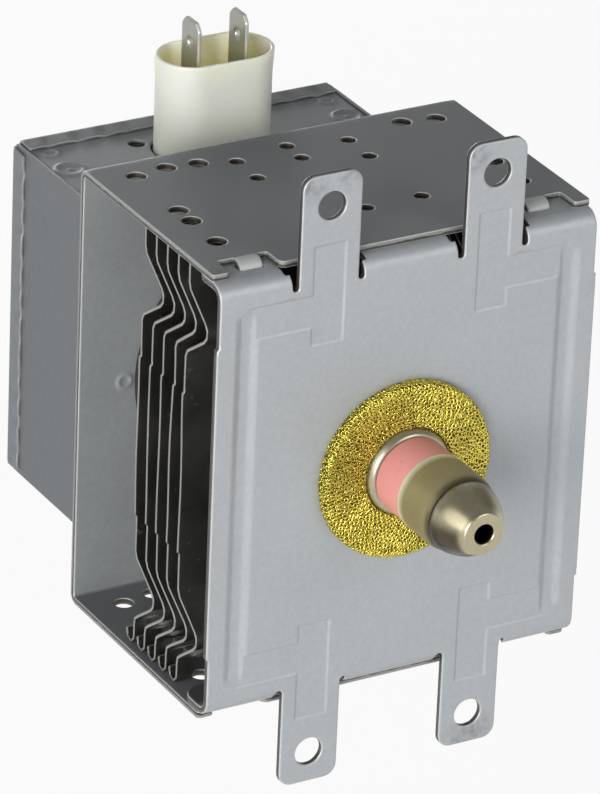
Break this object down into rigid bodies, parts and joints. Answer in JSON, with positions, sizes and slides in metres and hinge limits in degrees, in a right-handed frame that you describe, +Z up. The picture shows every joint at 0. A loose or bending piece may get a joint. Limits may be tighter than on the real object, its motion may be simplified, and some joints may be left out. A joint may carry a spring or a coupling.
{
  "type": "magnetron",
  "caption": "Microwave oven magnetron: finned tube and ring magnets in a folded steel yoke, capped antenna with a mesh gasket, mounting tabs, and a filter box with a blade connector.",
  "frame": {"origin": "where the antenna axis meets the front face of the front plate, at the centre of the mounting holes", "axes": "+X to the right seen from the antenna side, +Y back along the tube from the antenna to the filter box, +Z up towards the blade terminals"},
  "size_m": [0.0782, 0.1185, 0.1224],
  "materials": {
    "yoke_steel": "zinc plated, satin",
    "plate_steel": "zinc plated, satin",
    "gasket_wire": "knitted wire",
    "magnet_ferrite": "dark sintered ferrite",
    "copper": "bare copper",
    "pole_iron": "soft iron, plated",
    "seal_metal": "drawn sealing alloy",
    "window_ceramic": "pink alumina, smooth matte",
    "cap_metal": "drawn stainless cap, satin",
    "cathode_metal": "tungsten and molybdenum",
    "stem_ceramic": "white alumina",
    "terminal_metal": "tinned",
    "choke_wire": "enamelled copper wire",
    "core_ferrite": "grey ferrite",
    "box_steel": "zinc plated, satin",
    "connector_plastic": "cream moulding",
    "capacitor_resin": "cast resin",
    "fin_aluminium": "mill finish"
  },
  "bodies": {
    "root": {"yoke_frame": "yoke_steel", "front_plate": "plate_steel", "rf_gasket": "gasket_wire", "front_magnet": "magnet_ferrite", "rear_magnet": "magnet_ferrite", "anode_cylinder": "copper", "anode_vane_1": "copper", "anode_vane_2": "copper", "anode_vane_3": "copper", "anode_vane_4": "copper", "anode_vane_5": "copper", "anode_vane_6": "copper", "anode_vane_7": "copper", "anode_vane_8": "copper", "anode_vane_9": "copper", "anode_vane_10": "copper", "front_inner_strap": "copper", "front_outer_strap": "copper", "rear_inner_strap": "copper", "rear_outer_strap": "copper", "antenna_lead": "copper", "exhaust_tube": "copper", "front_pole_piece": "pole_iron", "rear_pole_piece": "pole_iron", "front_metal_seal": "seal_metal", "rear_metal_seal": "seal_metal", "output_ceramic": "window_ceramic", "antenna_cap": "cap_metal", "filament": "cathode_metal", "front_end_hat": "cathode_metal", "rear_end_hat": "cathode_metal", "center_lead": "cathode_metal", "side_lead": "cathode_metal", "stem_ceramic": "stem_ceramic", "stem_terminal_1": "terminal_metal", "stem_terminal_2": "terminal_metal", "terminal_tab_1": "terminal_metal", "terminal_tab_2": "terminal_metal", "choke_coil_1": "choke_wire", "choke_coil_2": "choke_wire", "ferrite_core_1": "core_ferrite", "ferrite_core_2": "core_ferrite", "filter_box": "box_steel", "filter_lid": "box_steel", "capacitor_ground_plate": "box_steel", "connector_housing": "connector_plastic", "capacitor_inner_case": "connector_plastic", "capacitor_body": "capacitor_resin", "cooling_fin_1": "fin_aluminium", "cooling_fin_2": "fin_aluminium", "cooling_fin_3": "fin_aluminium", "cooling_fin_4": "fin_aluminium", "cooling_fin_5": "fin_aluminium"}
  },
  "joints": []
}
